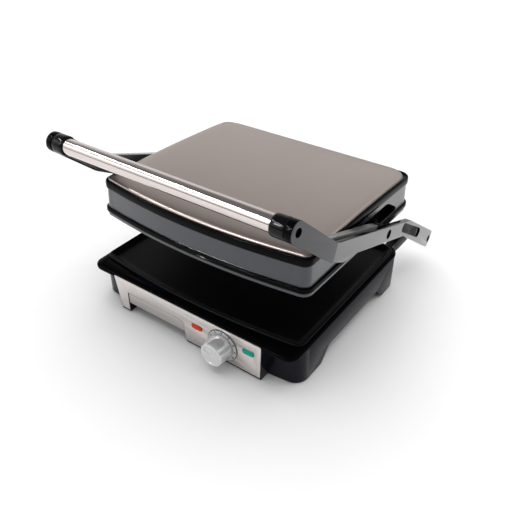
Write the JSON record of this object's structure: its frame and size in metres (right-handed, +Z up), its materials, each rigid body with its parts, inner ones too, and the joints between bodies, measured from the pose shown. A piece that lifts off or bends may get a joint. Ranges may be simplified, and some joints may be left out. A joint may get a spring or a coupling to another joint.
{
  "type": "panini press",
  "caption": "Electric panini press with a flat lower grill plate, a floating lid on two bent arms with a bar handle, a turn knob and a sliding drip tray.",
  "frame": {"origin": "on the floor under the middle of the bounding box", "axes": "+Z up; +Y from the handle and control panel towards the rear hinge; +X to the right of someone facing the control panel"},
  "size_m": [0.3734, 0.3938, 0.2596],
  "materials": {
    "black_gloss_plastic": "glossy black moulding",
    "arm_lacquer": "die-cast aluminium with a glossy dark grey lacquer",
    "lid_lacquer": "heat-resistant moulding with a glossy dark grey lacquer",
    "black_satin_plastic": "satin black",
    "foot_rubber": "matt black rubber",
    "non_stick_coating": "cast aluminium with a matt black non-stick coating",
    "panel_steel": "satin stainless steel",
    "tray_steel": "satin stainless steel, a little darker",
    "tray_plastic": "satin black",
    "titanium_cover": "satin metal with a warm grey tint",
    "handle_steel": "brushed stainless steel",
    "fixing_steel": "plain zinc-plated steel",
    "sheet_aluminium": "thin bright sheet",
    "rail_steel": "galvanised sheet",
    "element_steel": "dark heat-tinted steel sheath",
    "dial_grey": "light grey printed ring",
    "knob_silver": "silver lacquered plastic",
    "orange_lens": "translucent orange",
    "teal_lens": "translucent blue-green",
    "lamp_holder_plastic": "heat-resistant cream plastic",
    "black_nylon": "black nylon"
  },
  "bodies": {
    "base": {"base_housing": "black_gloss_plastic", "bottom_cover": "black_satin_plastic", "cover_screw_front_left": "fixing_steel", "cover_screw_front_right": "fixing_steel", "cover_screw_rear_left": "fixing_steel", "cover_screw_rear_right": "fixing_steel", "foot_front_left": "foot_rubber", "foot_front_right": "foot_rubber", "foot_rear_left": "foot_rubber", "foot_rear_right": "foot_rubber", "lower_plate": "non_stick_coating", "lower_heating_element": "element_steel", "lower_reflector": "sheet_aluminium", "control_panel": "panel_steel", "dial_scale": "dial_grey", "thermostat": "lamp_holder_plastic", "power_lens": "orange_lens", "ready_lens": "teal_lens", "power_lamp": "lamp_holder_plastic", "ready_lamp": "lamp_holder_plastic", "cord_gland": "black_satin_plastic", "terminal_block": "lamp_holder_plastic", "tray_rail_left": "rail_steel", "tray_rail_right": "rail_steel"},
    "drip_tray_body": {"drip_tray": "tray_plastic", "drip_tray_front": "tray_steel"},
    "knob": {"control_knob": "knob_silver", "thermostat_shaft": "fixing_steel"},
    "hinge_pins": {"hinge_pin_left": "fixing_steel", "hinge_pin_right": "fixing_steel"},
    "arms": {"arm_left": "arm_lacquer", "arm_right": "arm_lacquer", "arm_cover_left": "arm_lacquer", "arm_cover_right": "arm_lacquer", "handle_tube": "handle_steel", "handle_cap_left": "black_gloss_plastic", "handle_cap_right": "black_gloss_plastic", "handle_screw_left": "fixing_steel", "handle_screw_right": "fixing_steel"},
    "height_catch": {"release_slider": "black_satin_plastic"},
    "pivot_bolts": {"pivot_bolt_left": "fixing_steel", "pivot_bolt_right": "fixing_steel"},
    "lid": {"upper_housing": "lid_lacquer", "upper_cover": "titanium_cover", "upper_plate": "non_stick_coating", "upper_heating_element": "element_steel", "upper_reflector": "sheet_aluminium", "pivot_bush_left": "black_nylon", "pivot_bush_right": "black_nylon", "thermal_fuse": "fixing_steel"}
  },
  "joints": [
    {"name": "lid_open", "type": "hinge", "parent": "base", "child": "hinge_pins", "pos_m": [0, 0.1854, 0.047], "axis": [-1, 0, 0], "range_deg": [0, 150]},
    {"name": "lid_lift", "type": "hinge", "parent": "hinge_pins", "child": "arms", "pos_m": [0, 0.1854, 0.047], "axis": [-1, 0, 0], "range_deg": [-19.5, 0]},
    {"name": "lid_level", "type": "hinge", "parent": "arms", "child": "pivot_bolts", "pos_m": [0, 0.02336, 0.1395], "axis": [-1, 0, 0], "range_deg": [0, 18.1]},
    {"name": "lid_float", "type": "hinge", "parent": "pivot_bolts", "child": "lid", "pos_m": [0, 0.02336, 0.1395], "axis": [-1, 0, 0], "range_deg": [0, 28.6]},
    {"name": "knob_turn", "type": "hinge", "parent": "base", "child": "knob", "pos_m": [0.066, -0.17, 0.0292], "axis": [0, 1, 0], "range_deg": [0, 270]},
    {"name": "tray_slide", "type": "slide", "parent": "base", "child": "drip_tray_body", "axis": [0, -1, 0], "range_m": [0, 0.16]},
    {"name": "catch_slide", "type": "slide", "parent": "arms", "child": "height_catch", "axis": [0, 0.8387, -0.5446], "range_m": [0, 0.008], "stiffness_N_per_m": 150}
  ],
  "couplings": [
    {"joint": "lid_level", "follows": "lid_lift", "ratio": -0.92769},
    {"joint": "lid_float", "follows": "lid_open", "ratio": 0.1906}
  ]
}
